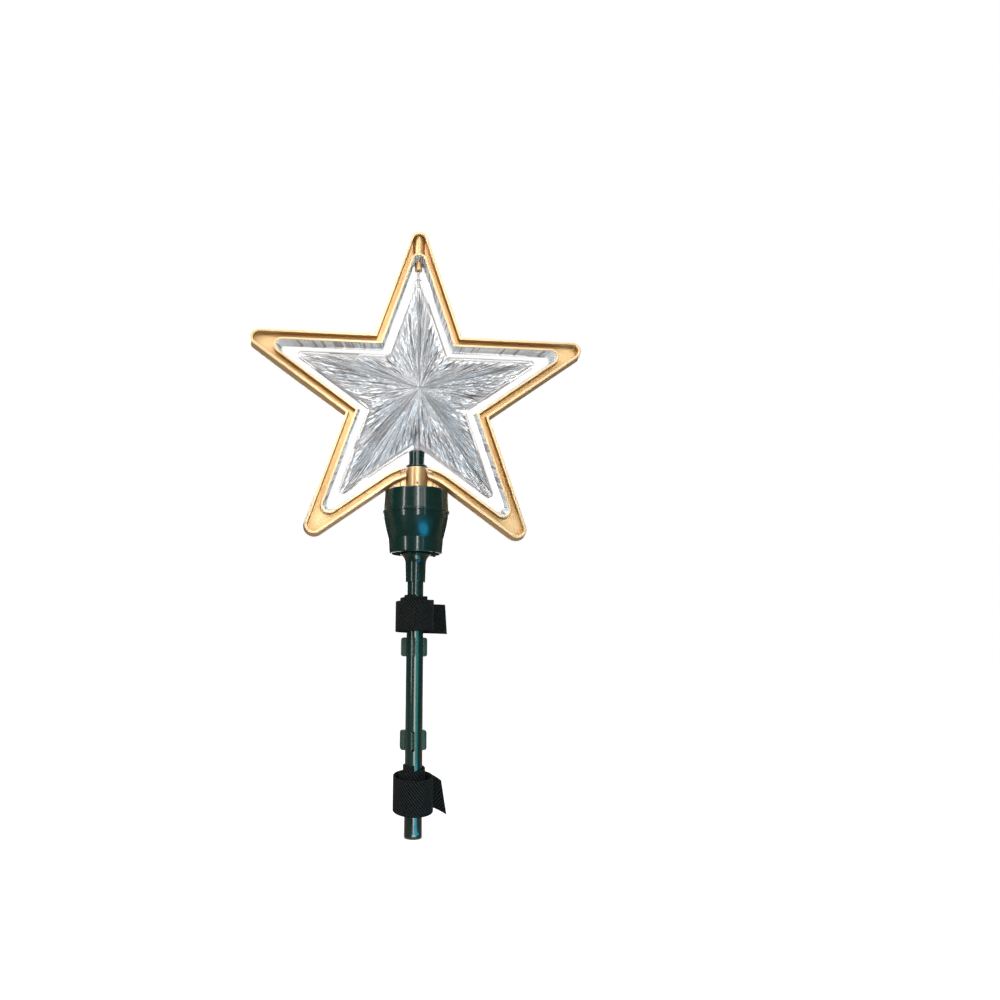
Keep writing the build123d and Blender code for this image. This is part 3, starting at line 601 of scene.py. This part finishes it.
# Hook-and-loop straps, one smooth strip each
def wound_line(steps, settle, tail):
    """Line of a strip seen from above: place, outward direction, and how many drops it has sunk."""
    reaches = [STRAP_START]
    for step in steps:
        reaches.append(reaches[-1] + step)
    line = []
    for k in range(len(steps)):
        side = 1 if k % 2 == 0 else -1
        radius = (reaches[k] + reaches[k + 1]) / 2
        middle = side * (reaches[k] - reaches[k + 1]) / 2
        for j in range(STRAP_HALF_TURN_STEPS):
            turned = j / STRAP_HALF_TURN_STEPS
            angle = -math.radians(90 * side + 180 * turned)
            outward = Vector((math.cos(angle), math.sin(angle)))
            sink = min(max((k + turned - 1) / settle, 0), STRAP_DROPS)
            line.append((outward * radius - Vector((0, middle)), outward, sink))
    for j in range(STRAP_TAIL_STEPS + 1):
        line.append((Vector((tail * j / STRAP_TAIL_STEPS, reaches[-1])), Vector((0, 1)), STRAP_DROPS))
    return line


def strip_section(width):
    """Closed section of a strip with round edges: height, and share of the thickness."""
    heights = [width * j / STRAP_ACROSS_STEPS for j in range(1, STRAP_ACROSS_STEPS)]
    section = [(STRAP_EDGE, 0.0)] + [(up, 0.0) for up in heights] + [(width - STRAP_EDGE, 0.0)]
    section += [(width, 0.25), (width, 0.75)]
    section += [(width - STRAP_EDGE, 1.0)] + [(up, 1.0) for up in reversed(heights)] + [(STRAP_EDGE, 1.0)]
    section += [(0.0, 0.75), (0.0, 0.25)]
    return section


def wound_strip(name, replaced, steps, top, width, drop, settle, lean, tail, slant, droop):
    """Strip of webbing wound outwards round the pole, lower with each turn, with a free tail behind.

    steps: outward at each half turn. settle: half turns to each drop.
    lean: slope of the sunken turns. slant and droop: how far the tail's end leans back and hangs.
    On the flat coordinates, the outer face lies two widths over the inner one.
    """
    line = wound_line(steps, settle, tail)
    section = strip_section(width)
    lengths = [0.0]
    for k in range(1, len(line)):
        lengths.append(lengths[-1] + (line[k][0] - line[k - 1][0]).length)
    tail_start = lengths[-1] - tail
    points = []
    flat = []
    for length, (place, outward, sink) in zip(lengths, line):
        share = max((length - tail_start) / tail, 0)
        for up, out in section:
            at = place + outward * (out * STRAP_THICKNESS)
            low = drop * sink - lean * at.y * sink / STRAP_DROPS + droop * share ** 2
            points.append((at.x - slant * share * up / width, at.y, top - width - low + up))
            flat.append((length, up + (0 if out < 0.5 else 2 * width)))
    faces = tube_faces(len(line), len(section))
    piece = mesh_piece(name, points, faces, "base", replaced, smooth=True)
    layer = piece.data.uv_layers.new(name="flat")
    for loop in piece.data.loops:
        layer.data[loop.index].uv = Vector(flat[loop.vertex_index]) * MM
    fix_normals(piece)
    piece.data.materials.append(CLOTH)


ribbed_band()
prism_shell("star_prisms_front", "spinner_front", side=-1, seed=5)
prism_shell("star_prisms_rear", "spinner_rear", side=1, seed=9)
wound_strip("upper_strap_strip", "upper_strap", steps=(1.2, 1.2, 3.3, 3.0, -1.4), top=0.9463 * POLE_LENGTH,
            width=0.1239 * POLE_LENGTH, drop=0.0156 * POLE_LENGTH, settle=2, lean=0,
            tail=29.4, slant=1.6, droop=0.5)
wound_strip("lower_strap_strip", "lower_strap", steps=(0.2, 1.1, 4.2, 3.6, -2.0), top=0.2732 * POLE_LENGTH,
            width=0.1317 * POLE_LENGTH, drop=0.0195 * POLE_LENGTH, settle=1, lean=0.14,
            tail=29.2, slant=4.5, droop=9.0)


# Camera at the photograph's viewing angle, in metres
CAMERA_PLACE = (-0.05742, -0.65032, 0.15115)
CAMERA_RIGHT = Vector((0.995850, -0.090479, 0.009668))
CAMERA_UP = Vector((-0.027948, -0.203013, 0.978776))


def photo_camera():
    """Camera with the place, turn, lens and shift that were fitted to the photograph."""
    data = bpy.data.cameras.new("camera")
    data.lens = 27.16
    data.sensor_width = 36
    data.shift_x = 0.0833
    data.shift_y = -0.0116
    camera = bpy.data.objects.new("camera", data)
    turn = Matrix((CAMERA_RIGHT, CAMERA_UP, CAMERA_RIGHT.cross(CAMERA_UP))).transposed()
    camera.matrix_world = Matrix.Translation(CAMERA_PLACE) @ turn.to_4x4()
    bpy.context.scene.collection.objects.link(camera)
    bpy.context.scene.camera = camera


# Floor, soft lights and white surroundings, in metres
WHITE = (1, 1, 1)
WARM_WHITE = (1, 1, 0.94)
TEAL = (0.12, 0.85, 0.80)
BLUE = (0.06, 0.65, 1)
DEEP_BLUE = (0.02, 0.45, 0.80)
DARK = (0.02, 0.02, 0.02)
FLOOR_SIZE = 16
FLOOR_GLOW = 0.62
WORLD_LIGHT = 0.55
POLE_CARD_Y = -0.05
STAR_PLACE = (0, 0, STAR_Z * MM)


def plain_sheet(name, width, depth, finish):
    """Flat rectangle round the origin, facing up."""
    x, y = width / 2, depth / 2
    mesh = bpy.data.meshes.new(name)
    mesh.from_pydata([(-x, -y, 0), (x, -y, 0), (x, y, 0), (-x, y, 0)], [], [(0, 1, 2, 3)])
    mesh.materials.append(finish)
    piece = bpy.data.objects.new(name, mesh)
    bpy.context.scene.collection.objects.link(piece)
    return piece


def card(name, place, target, size, colour, strength=0.0):
    """Card turned to a point, seen only in gloss and through clear plastic: plain, or a soft light."""
    made, _, main = shader(name, colour, 0.9)
    if strength:
        main.inputs["Emission Color"].default_value = (*colour, 1)
        main.inputs["Emission Strength"].default_value = strength
    piece = plain_sheet(name, *size, made)
    piece.location = place
    piece.rotation_euler = (Vector(target) - Vector(place)).to_track_quat("Z", "Y").to_euler()
    piece.visible_camera = False
    piece.visible_diffuse = False
    piece.visible_shadow = False
    return piece


def floor_card(name, x, y, z, size, colour, strength=0.0):
    """Card that lies face up just over the floor."""
    return card(name, (x, y, z), (x, y, 1), size, colour, strength)


def pole_card(name, x, z, size, colour, strength):
    """Upright light close before the pole, for the long lines down its gloss."""
    return card(name, (x, POLE_CARD_Y, z), (x, 0, z), size, colour, strength)


def lamp(name, place, target, size, power, colour=WHITE):
    """Soft box turned to a point."""
    data = bpy.data.lights.new(name, "AREA")
    data.shape = "RECTANGLE"
    data.size, data.size_y = size
    data.energy = power
    data.color = colour
    piece = bpy.data.objects.new(name, data)
    piece.location = place
    piece.rotation_euler = (Vector(target) - Vector(place)).to_track_quat("-Z", "Y").to_euler()
    bpy.context.scene.collection.objects.link(piece)


def seen_by_eye(tree):
    """1 for what the camera sees straight, in a mirror or through clear plastic."""
    path = add_node(tree, "ShaderNodeLightPath")
    direct = combine(tree, "MAXIMUM", path.outputs["Is Camera Ray"], path.outputs["Is Glossy Ray"])
    return combine(tree, "MAXIMUM", direct, path.outputs["Is Transmission Ray"])


def white_floor():
    """Pale floor that stays white for the camera and keeps the object's shadow."""
    made, tree, main = shader("floor", (0.8, 0.8, 0.8), 0.9, Specular_IOR_Level=0.0)
    main.inputs["Emission Color"].default_value = (*WHITE, 1)
    glow = combine(tree, "MULTIPLY", seen_by_eye(tree), FLOOR_GLOW)
    tree.links.new(glow, main.inputs["Emission Strength"])
    plain_sheet("floor", FLOOR_SIZE, FLOOR_SIZE, made)


def white_world():
    """White surroundings for the eye, softer grey as light."""
    world = bpy.data.worlds.new("studio")
    bpy.context.scene.world = world
    world.use_nodes = True
    tree = world.node_tree
    background = tree.nodes["Background"]
    background.inputs["Color"].default_value = (*WHITE, 1)
    strength = remap(tree, seen_by_eye(tree), 0.0, 1.0, WORLD_LIGHT, 1.0)
    tree.links.new(strength, background.inputs["Strength"])


def mottled_screen():
    """Screen of pale and grey patches behind the object, seen only through clear plastic and in gloss."""
    screen = card("rear_screen", (0.1, 1.2, 1.1), (0.1, 0, 1.1), (4.6, 1.9), (0.1, 0.1, 0.1))
    tree = screen.active_material.node_tree
    main = tree.nodes["Principled BSDF"]
    main.inputs["Emission Color"].default_value = (0.97, 0.98, 1, 1)
    place = add_node(tree, "ShaderNodeTexCoord")
    patches = add_node(tree, "ShaderNodeTexVoronoi")
    patches.inputs["Scale"].default_value = 6
    grey = add_node(tree, "ShaderNodeSeparateColor")
    tree.links.new(place.outputs["Object"], patches.inputs["Vector"])
    tree.links.new(patches.outputs["Color"], grey.inputs["Color"])
    spread(tree, grey.outputs["Red"], 0.3, 4.2, main.inputs["Emission Strength"])


def blue_patch():
    """Soft-edged blue light low in front, seen only in gloss."""
    width, height = 0.42, 0.10
    patch = card("blue_low", (0.13, -0.29, 0.148), (0, 0, 0.24), (width, height), DEEP_BLUE)
    tree = patch.active_material.node_tree
    main = tree.nodes["Principled BSDF"]
    main.inputs["Emission Color"].default_value = (*DEEP_BLUE, 1)
    place = add_node(tree, "ShaderNodeTexCoord")
    mapping = add_node(tree, "ShaderNodeMapping")
    mapping.inputs["Scale"].default_value = (2 / width, 2 / height, 1)
    fade = add_node(tree, "ShaderNodeTexGradient", gradient_type="SPHERICAL")
    tree.links.new(place.outputs["Object"], mapping.inputs["Vector"])
    tree.links.new(mapping.outputs["Vector"], fade.inputs["Vector"])
    spread(tree, fade.outputs["Fac"], 0.0, 6.5, main.inputs["Emission Strength"])


photo_camera()
white_floor()
white_world()
lamp("key", (-0.9, -1.2, 1.5), STAR_PLACE, (0.8, 0.8), 6)
lamp("front", (0.05, -1.7, 0.65), (0, 0, 0.3), (0.18, 1.2), 7)
lamp("left_strip", (-1.28, -1.11, 0.6), (0, 0, 0.25), (0.16, 1.2), 5)
lamp("blue_strip", (0.72, -1.54, 0.5), (0, 0, 0.25), (0.04, 0.95), 0.7, (0.5, 0.82, 1.0))
lamp("top_strip", (0, -0.9, 1.5), (0, 0, 0.3), (1.6, 0.3), 4)
card("front_bounce", (0.25, -1.85, 1.25), (0, 0, 0.4), (1.5, 1.0), WHITE, 0.4)
card("right_bounce", (0.62, -1.78, 0.95), (0, 0, 0.4), (0.7, 0.55), WHITE, 0.95)
pole_card("pole_line", 0.001, 0.0985, (0.0145, 0.195), WARM_WHITE, 7.0)
pole_card("pole_blue", 0.0275, 0.123, (0.0375, 0.146), TEAL, 2.2)
pole_card("foot_blue", 0.0275, 0.0255, (0.0375, 0.049), BLUE, 5.5)
floor_card("foot_line", 0.0005, -0.029, 0.002, (0.006, 0.042), WARM_WHITE, 7.0)
foot_floor = floor_card("foot_floor", 0.016, -0.033, 0.002, (0.018, 0.05), BLUE, 5.5)
foot_floor.rotation_euler.z += math.radians(29)
blue_patch()
card("flag_front", (0, -2.3, 1.3), (0, 0, 1.3), (6, 3.2), DARK)
card("flag_left", (-2.4, -0.5, 1.0), (0, -0.5, 1.0), (3.6, 2.6), DARK)
card("flag_right", (2.4, -0.5, 1.0), (0, -0.5, 1.0), (3.6, 2.6), (0.08, 0.065, 0.05))
floor_card("low_front", 0, -1.2, 0.001, (5, 2.3), DARK)
floor_card("low_rear", 0, 0.6, 0.001, (5, 1.3), (0.24, 0.16, 0.095))
card("rear_low_left", (-1.36, 1.15, 0.32), (-1.36, 0, 0.32), (2.1, 0.62), DARK)
card("rear_low_right", (1.5, 1.15, 0.32), (1.5, 0, 0.32), (2.0, 0.62), DARK)
mottled_screen()

bpy.context.scene.view_settings.view_transform = "Standard"
